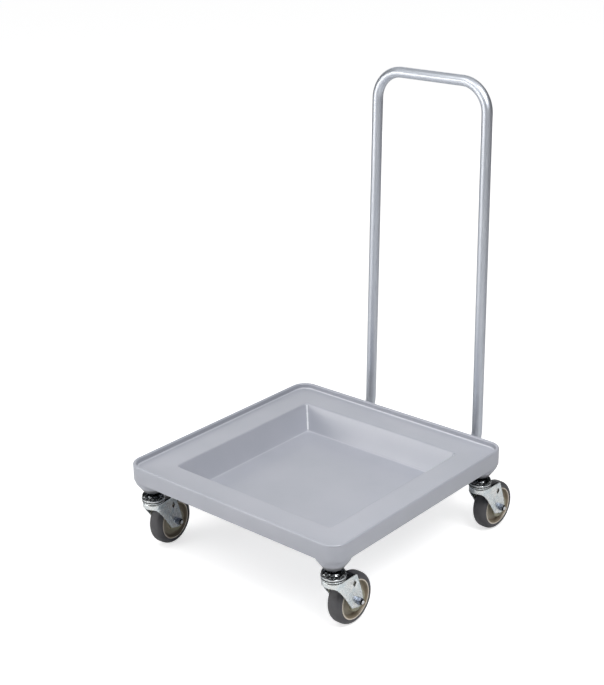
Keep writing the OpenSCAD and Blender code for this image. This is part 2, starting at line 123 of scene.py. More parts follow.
# %% [markdown]
# ## Materials from nodes
# Every surface here is a Principled shader with three layers of detail: a slow blotch that mixes
# two close colours, a finer noise that moves the roughness, and a grain that bumps the normal.
# Image textures would need unwrapped pieces. Noise in object coordinates needs none, and it looks
# right from every side.


# %% A finish made of blotch, sheen and grain
GRAIN_HEIGHT = 0.2 * MM


def finish(
    name,
    light,
    dark,
    blotch=30.0,
    gloss=(0.4, 0.5),
    grain=900.0,
    depth=0.05,
    metallic=0.0,
    specular=0.5,
    stretch=(1, 1, 1),
    attribute=None,
    contrast=(0.35, 0.65),
    accents=False,
):
    """Mixes light and dark by a noise of the blotch's scale; gloss is the range of roughness.
    With accents, a face that mark() gave a colour shows that colour; most such colours are
    painted light and shade."""
    material = bpy.data.materials.new(name + "_finish")
    material.use_nodes = True
    tree = material.node_tree
    shader = tree.nodes["Principled BSDF"]
    shader.inputs["Metallic"].default_value = metallic
    shader.inputs["Specular IOR Level"].default_value = specular

    if attribute:
        place = tree.nodes.new("ShaderNodeAttribute")
        place.attribute_name = attribute
        where = place.outputs["Vector"]
    else:
        where = tree.nodes.new("ShaderNodeTexCoord").outputs["Object"]
    mapping = tree.nodes.new("ShaderNodeMapping")
    mapping.inputs["Scale"].default_value = stretch
    tree.links.new(where, mapping.inputs["Vector"])

    def noise(scale, detail):
        node = tree.nodes.new("ShaderNodeTexNoise")
        node.inputs["Scale"].default_value = scale
        node.inputs["Detail"].default_value = detail
        tree.links.new(mapping.outputs["Vector"], node.inputs["Vector"])
        return node.outputs["Fac"]

    colours = tree.nodes.new("ShaderNodeValToRGB")
    colours.color_ramp.elements[0].position = contrast[0]
    colours.color_ramp.elements[0].color = dark
    colours.color_ramp.elements[1].position = contrast[1]
    colours.color_ramp.elements[1].color = light
    tree.links.new(noise(blotch, 4), colours.inputs["Fac"])
    # Accent colours from mark() are mostly painted light and shade.
    if accents:
        marked = tree.nodes.new("ShaderNodeAttribute")
        marked.attribute_name = "accent"
        coat = tree.nodes.new("ShaderNodeMix")
        coat.data_type = "RGBA"
        tree.links.new(marked.outputs["Alpha"], coat.inputs["Factor"])
        tree.links.new(colours.outputs["Color"], coat.inputs["A"])
        tree.links.new(marked.outputs["Color"], coat.inputs["B"])
        tree.links.new(coat.outputs["Result"], shader.inputs["Base Color"])
    else:
        tree.links.new(colours.outputs["Color"], shader.inputs["Base Color"])

    sheen = tree.nodes.new("ShaderNodeMapRange")
    sheen.inputs["To Min"].default_value = gloss[0]
    sheen.inputs["To Max"].default_value = gloss[1]
    tree.links.new(noise(blotch * 3, 3), sheen.inputs["Value"])
    tree.links.new(sheen.outputs["Result"], shader.inputs["Roughness"])

    bump = tree.nodes.new("ShaderNodeBump")
    bump.inputs["Strength"].default_value = depth
    bump.inputs["Distance"].default_value = GRAIN_HEIGHT
    tree.links.new(noise(grain, 2), bump.inputs["Height"])
    tree.links.new(bump.outputs["Normal"], shader.inputs["Normal"])
    return material


# %% [markdown]
# ## The finishes of this object
# The tray is a moulded plastic with a fine satin grain. The handle is a satin plated tube, whose
# polishing lines run along it. Forks are bright zinc with pale bluish clouds, and the swivel cups
# are plated. The domes on the cups carry a painted reflection: near black for the tray's dark
# underside, with pale spots as painted glints. The wheels pair a grey elastomer with an olive
# hub.

# %% The finishes
tray_plastic = finish(
    "tray_plastic",
    paint(184, 187, 197),
    paint(179, 183, 193),
    blotch=9,
    gloss=(0.28, 0.33),
    grain=320,
    depth=0.3,
    specular=0.8,
    accents=True,
)
handle_steel = finish(
    "handle_steel",
    paint(226, 231, 239),
    paint(214, 220, 230),
    blotch=5,
    gloss=(0.38, 0.48),
    grain=160,
    depth=0.06,
    metallic=0.9,
    stretch=(60, 60, 1.2),
    attribute="drawn",
)
bright_zinc = finish(
    "bright_zinc",
    paint(246, 249, 248),
    paint(226, 236, 240),
    blotch=70,
    gloss=(0.2, 0.34),
    grain=700,
    depth=0.1,
    metallic=0.93,
    accents=True,
)
swivel_chrome = finish(
    "swivel_chrome",
    paint(232, 235, 236),
    paint(176, 182, 186),
    blotch=160,
    gloss=(0.08, 0.2),
    grain=420,
    depth=0.3,
    metallic=1.0,
)
# A painted reflection: mostly near black for the tray's dark underside, with pale blotches as
# painted glints.
dome_painted_reflection = finish(
    "dome_painted_reflection",
    paint(196, 200, 202),
    paint(38, 41, 43),
    blotch=400,
    gloss=(0.12, 0.3),
    grain=420,
    depth=0.6,
    metallic=1.0,
    contrast=(0.5, 0.68),
)
# Near-black grease; in the races' gap it also stands in for the shade there.
grease = finish("grease", paint(26, 26, 27), paint(16, 16, 17), blotch=200, gloss=(0.25, 0.4))
zinc_steel = finish(
    "zinc_steel",
    paint(168, 175, 189),
    paint(122, 130, 146),
    blotch=240,
    gloss=(0.5, 0.62),
    depth=0.15,
    metallic=1.0,
    accents=True,
)
ball_steel = finish(
    "ball_steel",
    paint(210, 211, 214),
    paint(190, 191, 195),
    blotch=200,
    gloss=(0.06, 0.12),
    metallic=1.0,
)
brass = finish(
    "brass",
    paint(214, 184, 112),
    paint(190, 158, 88),
    blotch=150,
    gloss=(0.25, 0.4),
    metallic=1.0,
)
black_plastic = finish("black_plastic", paint(44, 44, 47), paint(34, 34, 37), blotch=80, depth=0.3)
tyre_rubber = finish(
    "tyre",
    paint(90, 90, 93),
    paint(80, 80, 83),
    blotch=55,
    gloss=(0.42, 0.58),
    grain=1100,
    depth=0.35,
    specular=0.4,
)
olive_plastic = finish(
    "olive_plastic",
    paint(172, 170, 148),
    paint(150, 148, 126),
    blotch=60,
    gloss=(0.35, 0.5),
    depth=0.2,
)
hub_plastic = finish(
    "hub_plastic",
    paint(190, 183, 164),
    paint(168, 161, 142),
    blotch=60,
    gloss=(0.35, 0.5),
    depth=0.2,
    accents=True,
)
bearing_plastic = finish("bearing_plastic", paint(222, 218, 206), paint(206, 201, 188), blotch=90)
print(len(bpy.data.materials), "materials")

# %% [markdown]
# ## Helpers for meshes
# Four simple tools make almost every piece here. Rounding turns the sharp corners of an outline
# into arcs, because real edges catch a line of light. Lofting skins a row of rings, and turning
# spins an outline about an axis, as a lathe does. Joining puts several closed shells in one
# piece. Bevel modifiers could round the corners too, but an outline with its radii written down
# says what the maker had in mind.


# %% Rounded outlines
NEARLY_STRAIGHT = math.radians(89.5)
ALMOST_HALF = 0.499


def rounded(points, steps=5):
    """Outline points (x, y, radius), with each corner that has a radius turned into an arc."""
    out = []
    for i, (x, y, radius) in enumerate(points):
        corner = Vector((x, y))
        if radius <= 0:
            out.append(corner)
            continue
        to_last = Vector(points[i - 1][:2]) - corner
        to_next = Vector(points[(i + 1) % len(points)][:2]) - corner
        half = to_last.angle(to_next) / 2
        if half > NEARLY_STRAIGHT:
            out.append(corner)
            continue
        room = ALMOST_HALF * min(to_last.length, to_next.length)
        reach = min(radius / math.tan(half), room)
        to_last.normalize()
        to_next.normalize()
        centre = corner + (to_last + to_next).normalized() * reach / math.cos(half)
        start, end = corner + to_last * reach - centre, corner + to_next * reach - centre
        turn = start.angle_signed(end)
        for k in range(steps + 1):
            a = -turn * k / steps
            out.append(
                centre
                + Vector(
                    (
                        start.x * math.cos(a) - start.y * math.sin(a),
                        start.x * math.sin(a) + start.y * math.cos(a),
                    )
                )
            )
    return out


# %% Meshes
SHARP_DEGREES = 35
WELD = 1e-7


def add_mesh(name, points, faces):
    """A closed mesh in millimetres as an object in metres, smooth except where it bends sharply."""
    mesh = bpy.data.meshes.new(name)
    mesh.from_pydata([tuple(c * MM for c in p) for p in points], [], faces)
    shell = bmesh.new()
    shell.from_mesh(mesh)
    bmesh.ops.remove_doubles(shell, verts=shell.verts, dist=WELD)
    bmesh.ops.recalc_face_normals(shell, faces=shell.faces)
    shell.to_mesh(mesh)
    shell.free()
    smooth(mesh)
    piece = bpy.data.objects.new(name, mesh)
    bpy.context.scene.collection.objects.link(piece)
    return piece


def smooth(mesh, sharp=SHARP_DEGREES):
    mesh.shade_smooth()
    mesh.set_sharp_from_angle(angle=math.radians(sharp))


def loft(name, rings):
    """Skins rings of equally many points, and caps both ends."""
    n, points = len(rings[0]), [p for ring in rings for p in ring]
    faces = []
    for i in range(len(rings) - 1):
        a, b = i * n, (i + 1) * n
        faces += [(a + k, a + (k + 1) % n, b + (k + 1) % n, b + k) for k in range(n)]
    faces += [tuple(range(n)), tuple(range(len(points) - n, len(points)))]
    return add_mesh(name, points, faces)


def turned(name, outline, steps=64):
    """Spins an outline of (radius, height) about Z. An outline may start and end on the axis."""
    points, rings = [], []
    for radius, height in outline:
        if radius < 1e-6:
            rings.append([len(points)] * steps)
            points.append((0, 0, height))
            continue
        rings.append([len(points) + k for k in range(steps)])
        for k in range(steps):
            a = 2 * math.pi * k / steps
            points.append((radius * math.cos(a), radius * math.sin(a), height))
    faces = []
    for a, b in zip(rings, rings[1:] + rings[:1]):
        for k in range(steps):
            face = list(dict.fromkeys((a[k], a[(k + 1) % steps], b[(k + 1) % steps], b[k])))
            if len(face) > 2:
                faces.append(face)
    return add_mesh(name, points, faces)


def mark(mesh, colour_at):
    """Gives each face the colour that colour_at(centre in mm, normal) names, if it names one."""
    values = [colour_at(face.center / MM, face.normal) or (0, 0, 0, 0) for face in mesh.polygons]
    accent = mesh.attributes.new("accent", "FLOAT_COLOR", "FACE")
    accent.data.foreach_set("color", np.array(values, np.float32).ravel())


def join(name, *parts):
    """One piece made of several closed shells."""
    shell = bmesh.new()
    for part in parts:
        part.data.transform(part.matrix_world)
        shell.from_mesh(part.data)
        bpy.data.objects.remove(part)
    mesh = bpy.data.meshes.new(name)
    shell.to_mesh(mesh)
    shell.free()
    piece = bpy.data.objects.new(name, mesh)
    bpy.context.scene.collection.objects.link(piece)
    return piece


# %% [markdown]
# Pieces that ride with a body, take over from CAD nodes and get a finish need the same few calls
# each time, so one helper makes them all.


def dress(piece, material, body, replaces=()):
    piece.data.materials.clear()
    piece.data.materials.append(material)
    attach(piece, body)
    if replaces:
        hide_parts(*replaces)


def keep_node(node, material):
    """A CAD node whose shape is right keeps its mesh and gets the finish of its slot."""
    piece = frame["nodes"][node]
    piece.data.materials.clear()
    piece.data.materials.append(material)


# %% [markdown]
# ## The tray
# The tray is one moulding. Seen from above it is always a square with round corners, so its whole
# skin is one loft: an outline that runs from under the well, out to the skirt, over the rim,
# along the ledge and down into the well, with a square ring for each of its points. Box modelling
# and a subdivision surface would also do, but the loft keeps every measured radius.

# %% Sizes of the tray
tray_low, tray_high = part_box("tray")
tray_middle = (tray_low + tray_high) / 2
half = (tray_high.x - tray_low.x) / 2 / MM
rim_z = tray_high.z / MM
skirt_z = tray_low.z / MM
rim_h, rim_t, skirt_t, sheet = 12, 7, 5, 4
ledge_z = rim_z - rim_h
well_half, floor_half, well_depth = 200, 180, 56
floor_z = ledge_z - well_depth
FLAT_HALF = 150
CORNER_STEPS = 20
print("tray", round(2 * half), "mm square, rim", round(rim_z, 1), "mm high")


# %% The tray's skin
RING_OUTS = (160, floor_half, well_half, half - rim_t, half)
RING_RADII = (2, 4, 10, 28, 35)


def square_ring(out, z):
    """A square with round corners, whose sides are out from the tray's middle."""
    r = float(np.interp(out, RING_OUTS, RING_RADII))
    ring = []
    for quarter in range(4):
        for k in range(CORNER_STEPS + 1):
            a = math.pi / 2 * (quarter + k / CORNER_STEPS)
            cx = (out - r) * (1 if quarter in (0, 3) else -1)
            cy = (out - r) * (1 if quarter in (0, 1) else -1)
            ring.append((cx + r * math.cos(a), cy + r * math.sin(a), z))
    return ring


wall_lean = (well_half - floor_half) / well_depth
wall = sheet * math.hypot(1, wall_lean)
wall_rises = (38, 20)
wall_bands = [(floor_half + wall_lean * rise, floor_z + rise, 0) for rise in wall_rises]
tray_outline = rounded(
    [
        (FLAT_HALF, floor_z - sheet, 0),
        (floor_half + wall - sheet * wall_lean, floor_z - sheet, 8),
        (well_half + wall - sheet * wall_lean, ledge_z - sheet, 3),
        (half - skirt_t, ledge_z - sheet, 4),
        (half - skirt_t, skirt_z, 1.2),
        (half, skirt_z, 1.4),
        (half, rim_z, 3.4),
        (half - rim_t, rim_z, 3.4),
        (half - rim_t, ledge_z, 3.5),
        (well_half, ledge_z, 4.5),
        *wall_bands,
        (floor_half, floor_z, 6),
        (FLAT_HALF, floor_z, 0),
    ]
)
tray_skin = loft("tray_skin", [square_ring(p.x, p.y) for p in tray_outline])
print("tray skin", len(tray_skin.data.polygons), "faces")

# %% [markdown]
# Under each corner a boss flares out of the skirt and takes the caster's stem. It is a turned
# piece whose cone widens until it is as round as the corner, so it runs into the skirt without a
# step. Its outline has extra points near the foot, so that the foot's faces can take a painted
# shade, darker towards the bottom. The well's wall has two such points too, so that the painted
# highlight line in its corners can widen towards the floor. Under the well, four pads hold the
# handle's legs: each is a short bar with a round channel.

# %% Corner bosses and pads
STEM_XY = 235
boss_r, boss_z = 19, 136
cone_r, cone_z = 34.6, boss_z + 0.8 * (skirt_z - boss_z)
# Heights where the bosses' painted shade steps, with its greys from the foot up.
boss_shade_bands, boss_shade_greys = (5, 8, 11), (100, 126, 150)


def boss(x, y):
    slope = (cone_r - boss_r) / (cone_z - boss_z)
    bands = [(boss_r + slope * rise, boss_z + rise, 0) for rise in boss_shade_bands]
    foot = [(0, boss_z, 0), (boss_r, boss_z, 1.2)]
    top = [(cone_r, cone_z, 14), (cone_r, ledge_z - 1, 0), (0, ledge_z - 1, 0)]
    piece = turned("boss", rounded(foot + bands + top, steps=8))
    piece.data.transform(Matrix.Translation((x * MM, y * MM, 0)))
    return piece


LEG_X, LEG_Z, TUBE_R = 144.5, 107.7, 11.1
pad_half, pad_length, pad_low, pad_gap = 17, 30, 113.8, 0.2
bolt_ys = (45, 135)


def pad(x, y):
    channel = TUBE_R + pad_gap
    edge = math.acos((pad_low - LEG_Z) / channel)
    turns = np.linspace(-edge, edge, 13)
    arc = [(channel * math.sin(a), LEG_Z + channel * math.cos(a)) for a in turns]
    left = [(-pad_half, floor_z - 1), (-pad_half, pad_low)]
    outline = left + arc + [(-px, pz) for px, pz in reversed(left)]
    rings = [[(x + px, y + side * pad_length / 2, pz) for px, pz in outline] for side in (-1, 1)]
    return loft("pad", rings)


bosses = [boss(x, y) for x in (-STEM_XY, STEM_XY) for y in (-STEM_XY, STEM_XY)]
pads = [pad(x, y) for x in (-LEG_X, LEG_X) for y in bolt_ys]
tray = join("tray_moulding", tray_skin, *bosses, *pads)


# %% The tray's tones
# Painted highlights for the well's corners, the floor's edge and the rim's foot; painted shade for
# the rim's inside.
CORNER_HIGHLIGHT, FLOOR_EDGE_HIGHLIGHT = paint(240, 243, 248), paint(194, 197, 206)
RIM_FOOT_HIGHLIGHT, RIM_INSIDE_SHADE = paint(205, 208, 216), paint(163, 166, 176)
# Widths of the corners' painted highlight line, narrowest at the top and widest near the floor.
HIGHLIGHT_LINE_WIDTHS = (0.22, 0.33, 0.43)
CORNER_ZONE = 70


def tray_painted_light(at, normal):
    """Painted highlights make a pale line in the well's hollow corners, at the rim's foot and at
    the floor's edge. Painted shade darkens the rim's inside and the bosses' feet, most at the
    bottom.
    """
    out = max(abs(at.x), abs(at.y))
    on_wall = floor_z + 4 < at.z < ledge_z - 4 and out < well_half
    in_rim = ledge_z < at.z < rim_z - 2 and well_half + 20 < out < half - 3.6
    at_floor = floor_z < at.z < floor_z + 3 and out > floor_half - 8
    # A painted highlight line in the hollow corners.
    if on_wall:
        width = HIGHLIGHT_LINE_WIDTHS[sum(at.z <= floor_z + rise for rise in wall_rises)]
        if abs(normal.z) < 0.6 and abs(abs(normal.x) - abs(normal.y)) < width:
            return CORNER_HIGHLIGHT
    # A painted highlight at the rim's foot, painted shade on its inside.
    if in_rim:
        if 0.35 < normal.z < 0.93:
            return RIM_FOOT_HIGHLIGHT
        if abs(normal.z) <= 0.35:
            return RIM_INSIDE_SHADE
    # A painted highlight at the floor's edge.
    if at_floor and 0.45 < normal.z < 0.9:
        return FLOOR_EDGE_HIGHLIGHT
    # Painted shade on the bosses' feet, darker towards the bottom.
    if out > half - CORNER_ZONE:
        for rise, grey in zip(boss_shade_bands, boss_shade_greys):
            if at.z < boss_z + rise:
                return paint(grey, grey + 2, grey + 7)


mark(tray.data, tray_painted_light)
tray.location = (tray_middle.x, tray_middle.y, 0)
bpy.context.view_layer.update()
CASTERS = ("front_left", "front_right", "rear_left", "rear_right")
dress(tray, tray_plastic, "root", ["tray", "tray_well"] + [name + "_boss" for name in CASTERS])
keep_node("tray_ribs", tray_plastic)
print("tray moulding", len(tray.data.polygons), "faces")

# %% [markdown]
# ## The handle
# The handle is one tube, bent four times. A curve with a bevel would draw it in a few lines, but
# its bends would only come near the true arcs. So the centre line is worked out corner by corner,
# each with an arc of the bender's radius, and a ring of points is carried along it without
# twisting. Each point also remembers its place round and along the tube, which the polishing
# lines follow.

# %% The handle's centre line
BEND_R = 60
handle_low, handle_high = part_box("handle")
leg_end_y, leg_y, bar_y, bar_x = 20, 357, 367, 135
top_gap = 0.1
bar_z = handle_high.z / MM - TUBE_R - top_gap
corners = [
    Vector(p)
    for p in (
        (-LEG_X, leg_end_y, LEG_Z),
        (-LEG_X, leg_y, LEG_Z),
        (-bar_x, bar_y, bar_z),
        (bar_x, bar_y, bar_z),
        (LEG_X, leg_y, LEG_Z),
        (LEG_X, leg_end_y, LEG_Z),
    )
]


def centre_line(corners, radius, steps=18):
    line = [corners[0]]
    for before, corner, after in zip(corners, corners[1:], corners[2:]):
        came, goes = (corner - before).normalized(), (after - corner).normalized()
        turn = came.angle(goes)
        inward = (goes - came * came.dot(goes)).normalized()
        start = corner - came * radius * math.tan(turn / 2)
        centre = start + inward * radius
        for k in range(steps + 1):
            a = turn * k / steps
            line.append(centre - inward * radius * math.cos(a) + came * radius * math.sin(a))
    return line + [corners[-1]]


line = centre_line(corners, BEND_R)
tube_length = sum((b - a).length for a, b in zip(line, line[1:]))
print("tube", round(tube_length), "mm long")


# %% The handle's tube
def swept(name, line, radius, steps=48):
    """A round bar along a line, with its place round and along the bar kept as an attribute."""
    rings, drawn, along = [], [], 0.0
    side = Vector((0, 0, 1)).cross(line[1] - line[0]).normalized()
    for i, p in enumerate(line):
        ahead = (line[min(i + 1, len(line) - 1)] - line[max(i - 1, 0)]).normalized()
        side = (side - ahead * side.dot(ahead)).normalized()
        top = ahead.cross(side)
        if i:
            along += (p - line[i - 1]).length
        ring = []
        for k in range(steps):
            a = 2 * math.pi * k / steps
            ring.append(p + (side * math.cos(a) + top * math.sin(a)) * radius)
            drawn.append((math.cos(a) * radius * MM, math.sin(a) * radius * MM, along * MM))
        rings.append(ring)
    piece = loft(name, rings)
    place = piece.data.attributes.new("drawn", "FLOAT_VECTOR", "POINT")
    place.data.foreach_set("vector", np.array(drawn, np.float32).ravel())
    return piece


handle = swept("handle_tube", line, TUBE_R)
handle.location = (0, tray_middle.y, 0)
bpy.context.view_layer.update()
dress(handle, handle_steel, "root", ["handle"])
keep_node("handle_plugs", black_plastic)
keep_node("handle_saddles", zinc_steel)
keep_node("handle_bolts", zinc_steel)
keep_node("inserts", brass)
for corner in (handle_low, handle_high):
    print("handle box", [round(v / MM, 1) for v in corner])

# %% [markdown]
# ## The caster's fork
# The fork is pressed from one sheet: a flat crown, two legs and a round apron in front that joins
# them. It is made as a toolmaker would: a rounded blank, cut by the side view of the legs,
# hollowed by a smaller blank, and punched with the diamond. Booleans are the shortest way to that
# shape, and a small bevel afterwards gives the cut edges their bright line.

# %% Sizes of the caster, about its swivel axis and trailing towards +Y
TRAIL, WHEEL_R = 46, 50.8
fork_half, fork_t, crown_z = 22, 2.5, 113
leg_end_r, blank_z = 13, 20


# %% Booleans and bevels, applied at once
def applied(piece):
    depsgraph = bpy.context.evaluated_depsgraph_get()
    mesh = bpy.data.meshes.new_from_object(piece.evaluated_get(depsgraph))
    piece.modifiers.clear()
    piece.data = mesh


def cut_by(piece, tool, operation):
    modifier = piece.modifiers.new("cut", "BOOLEAN")
    modifier.operation = operation
    modifier.solver = "EXACT"
    modifier.object = tool
    applied(piece)
    bpy.data.objects.remove(tool)
    return piece


def edged(piece, width):
    modifier = piece.modifiers.new("edge", "BEVEL")
    modifier.width = width * MM
    modifier.segments = 2
    modifier.limit_method = "ANGLE"
    modifier.angle_limit = math.radians(SHARP_DEGREES)
    modifier.use_clamp_overlap = True
    applied(piece)
    smooth(piece.data)


# %% The fork's blanks
def fork_blank(name, half, top, edge, back=80, steps=24):
    """A block with a round front, whose top edge is rounded by the bend of the sheet."""

    def ring(inset, z):
        r = half - inset
        turns = np.linspace(math.pi, 2 * math.pi, steps + 1)
        front = [(r * math.cos(a), r * math.sin(a), z) for a in turns]
        return [(-r, back - inset, z)] + front + [(r, back - inset, z)]

    rings = [ring(0, blank_z)]
    for a in np.linspace(0, math.pi / 2, 7):
        rings.append(ring(edge * (1 - math.cos(a)), top - edge + edge * math.sin(a)))
    return loft(name, rings)


def punch(name, outline):
    """A tool that goes right through the fork from side to side."""
    reach = fork_half + 3
    return loft(name, [[(x, p.x, p.y) for p in outline] for x in (-reach, reach)])


leg_front = [(-30, 102.5, 0), (-14, 100.5, 14), (-5, 89.5, 22), (8, 71.8, 0), (27, 42.8, 5)]
leg_end = [
    (TRAIL + leg_end_r * math.cos(a), WHEEL_R + leg_end_r * math.sin(a), 0)
    for a in np.radians(np.arange(236, 386, 6))
]
leg_back = [(56, 66.8, 6), (43, 104.5, 2), (42, 108, 4), (38, 110.4, 6), (18.4, crown_z, 8)]
over_crown = [(16, crown_z + 3, 0), (-30, crown_z + 3, 0)]
leg_outline = rounded(leg_front + leg_end + leg_back + over_crown, steps=6)
side_view = punch("side_view", leg_outline)
fork_shell = cut_by(fork_blank("fork_shell", fork_half, crown_z, edge=4.5), side_view, "INTERSECT")
hollow = fork_blank("hollow", fork_half - fork_t, crown_z - fork_t, edge=2.2, back=90)
cut_by(fork_shell, hollow, "DIFFERENCE")
DIAMOND = Vector((0, 34.5, 92.5))
diamond_w, diamond_h = 5.1, 7.3
diamond = [
    (DIAMOND.y, DIAMOND.z - diamond_h, 1.2),
    (DIAMOND.y + diamond_w, DIAMOND.z, 1),
    (DIAMOND.y, DIAMOND.z + diamond_h, 1.2),
    (DIAMOND.y - diamond_w, DIAMOND.z, 1),
]
cut_by(fork_shell, punch("diamond", rounded(diamond, steps=3)), "DIFFERENCE")
edged(fork_shell, width=0.45)
print("fork shell", len(fork_shell.data.polygons), "faces")

# %% [markdown]
# On the crown sits the race of the upper balls: a rolled bead with a step above it, that fits
# inside the lip of the domed cup. The two beads give the bright rings that one sees between the
# tray and the fork. The near-black ring in the gap between them is grease and also painted shade,
# and gives the dark rings. The dome's dark colour is a painted reflection of the tray's dark
# underside, and its small glints are painted highlights.

# %% Races and cups
upper_race = turned(
    "upper_race",
    rounded(
        [
            (6.3, crown_z - 1, 0),
            (21.4, crown_z - 1, 0),
            (21.4, crown_z + 0.4, 0),
            (23.1, crown_z + 0.4, 0.5),
            (23.1, crown_z + 1.9, 0.5),
            (20.6, crown_z + 1.9, 0.2),
            (20.6, crown_z + 4, 0.3),
            (6.3, crown_z + 4, 0),
        ]
    ),
)
lower_race = turned(
    "lower_race", rounded([(6.3, 108.5, 0.3), (15, 108.5, 0.8), (15, 112, 0), (6.3, 112, 0)])
)
fork_mesh = join("fork", fork_shell, upper_race, lower_race).data


# Painted shade: near black on the crown's top and under the bead, dark grey on the diamond's walls.
FORK_SHADE, DIAMOND_SHADE = paint(34, 36, 38), paint(60, 62, 64)
DIAMOND_REACH = 8.2


def fork_painted_shade(at, normal):
    """Painted shade darkens the crown's top, the band under the bead and the diamond's walls."""
    away = at - DIAMOND
    on_crown = at.z > crown_z - 9 and normal.z > 0.8
    under_bead = crown_z - 2.6 < at.z < crown_z and normal.z > 0.3
    if on_crown or under_bead:
        return FORK_SHADE
    if abs(away.y) + abs(away.z) < DIAMOND_REACH and abs(normal.x) < 0.5:
        return DIAMOND_SHADE


mark(fork_mesh, fork_painted_shade)

cup_z = crown_z + 4
top_cup_mesh = turned(
    "top_cup",
    rounded(
        [
            (6.2, cup_z + 3, 0),
            (6.2, cup_z + 4.5, 0),
            (21.8, cup_z + 4.5, 0),
            (21.8, cup_z + 3.9, 0.2),
            (23.7, cup_z + 3.9, 0.9),
            (23.7, cup_z + 0.4, 0.5),
            (21.4, cup_z + 0.4, 0.4),
            (21.4, cup_z + 3, 0),
        ]
    ),
).data
dome_mesh = turned(
    "dome",
    rounded(
        [
            (6.2, cup_z + 4.2, 0),
            (6.2, cup_z + 16, 0),
            (12.4, cup_z + 16, 0.5),
            (18.6, cup_z + 13.4, 5),
            (22.3, cup_z + 9.5, 4),
            (22.6, cup_z + 4.2, 0.3),
        ],
        steps=8,
    ),
).data
# A near-black ring of grease in the gap below the cup's lip; it also paints in the shade of that
# gap.
gap_grease_and_shade_mesh = turned(
    "grease", [(20.4, crown_z), (22.1, crown_z), (22.1, cup_z + 0.8), (20.4, cup_z + 0.8)]
).data
print("fork", len(fork_mesh.polygons), "faces, cup", len(top_cup_mesh.polygons))


# %% [markdown]
# ## Nuts and bolts
# A hexagon with bare edges looks like a toy. A real nut is turned first, so its corners are cut
# off by a cone. The crossing of a six-sided prism with a turned blank gives just that curve.


# %% Hexagons
def hexagon(name, radius, z0, z1):
    turns = np.radians(np.arange(0, 360, 60))
    six = [(radius * math.cos(a), radius * math.sin(a)) for a in turns]
    prism = loft(name, [[(x, y, z) for x, y in six] for z in (z0, z1)])
    inner, outer, chamfer = radius * 0.87, radius * 1.02, (z1 - z0) * 0.16
    blank = [
        (0, z0),
        (inner, z0),
        (outer, z0 + chamfer),
        (outer, z1 - chamfer),
        (inner, z1),
        (0, z1),
    ]
    cut_by(prism, turned("blank", blank), "INTERSECT")
    smooth(prism.data, sharp=25)
    return prism


def on_axle(piece):
    """Lays a piece that was made about Z along the axle, with its +Z end at the nut's side."""
    turn = Matrix.Rotation(math.radians(90), 4, "Y")
    piece.data.transform(Matrix.Translation((0, TRAIL * MM, WHEEL_R * MM)) @ turn)
    return piece


AXLE_R, NUT_R, COLLAR_R = 4, 7.5, 6.3
HEAD_H, NUT_H, COLLAR_H, THREAD_H = 5.3, 6, 8, 10
PITCH, THREAD_DEPTH, TURNS = 1.25, 0.65, 8
shank = [(0, -fork_half - 1), (AXLE_R, -fork_half - 1), (AXLE_R, fork_half)]
for k in range(TURNS):
    crest, root = fork_half + k * PITCH, fork_half + (k + 0.5) * PITCH
    shank += [(AXLE_R, crest), (AXLE_R - THREAD_DEPTH, root)]
bolt_end = fork_half + THREAD_H + 1
shank += [(AXLE_R, bolt_end - 1), (AXLE_R - 0.9, bolt_end), (0, bolt_end)]
bolt_head = hexagon("bolt_head", NUT_R, -fork_half - HEAD_H, -fork_half)
axle_bolt_mesh = on_axle(join("axle_bolt", bolt_head, turned("shank", shank, steps=32))).data

nut_body = hexagon("nut_body", NUT_R, fork_half, fork_half + NUT_H)
bore = AXLE_R + 0.05
collar = turned(
    "collar",
    rounded(
        [
            (bore, fork_half + NUT_H - 1, 0),
            (COLLAR_R, fork_half + NUT_H - 1, 0),
            (COLLAR_R, fork_half + COLLAR_H, 1.2),
            (bore, fork_half + COLLAR_H, 0.3),
        ]
    ),
    steps=40,
)
axle_nut_mesh = on_axle(join("axle_nut", nut_body, collar)).data


# Painted highlights for the bolt's end and the collar's side; painted shade for the thread, the end
# faces and the nut's outer face.
BOLT_END_HIGHLIGHT, COLLAR_HIGHLIGHT = paint(236, 238, 240), paint(214, 217, 222)
THREAD_SHADE, NUT_FACE_SHADE = paint(46, 48, 54), paint(70, 73, 82)


def thread_painted_light(at, normal):
    """Painted shade darkens the end faces and the thread; painted highlights brighten the
    collar's side and the bolt's end.
    """
    out = at.x - fork_half
    if out > THREAD_H and normal.x > 0.4:
        return BOLT_END_HIGHLIGHT
    if out > NUT_H + 0.1:
        side = normal.x < 0.4 and out < COLLAR_H
        return COLLAR_HIGHLIGHT if side else THREAD_SHADE
    if out > NUT_H - 1 and normal.x > 0.3:
        return NUT_FACE_SHADE


mark(axle_nut_mesh, thread_painted_light)
mark(axle_bolt_mesh, thread_painted_light)
print("nut", len(axle_nut_mesh.polygons), "faces")

# %% [markdown]
# ## The wheel
# Tyre, hub and thread guards are all turned. The tyre's tread is gently crowned and runs round a
# wide shoulder. The hub is dished, with a pale raised edge that shows as a ring beside the tyre,
# and a guard on each side keeps string and hair out of the bearing.

# %% Wheel
TYRE_HALF, HUB_R, HUB_HALF, GUARD_R = 15.875, 39.5, 15, 22


def both_faces(points):
    """The outline of one face, from the rim inwards, followed by its mirror image."""
    return rounded(points + [(x, -y, r) for x, y, r in reversed(points)], steps=7)


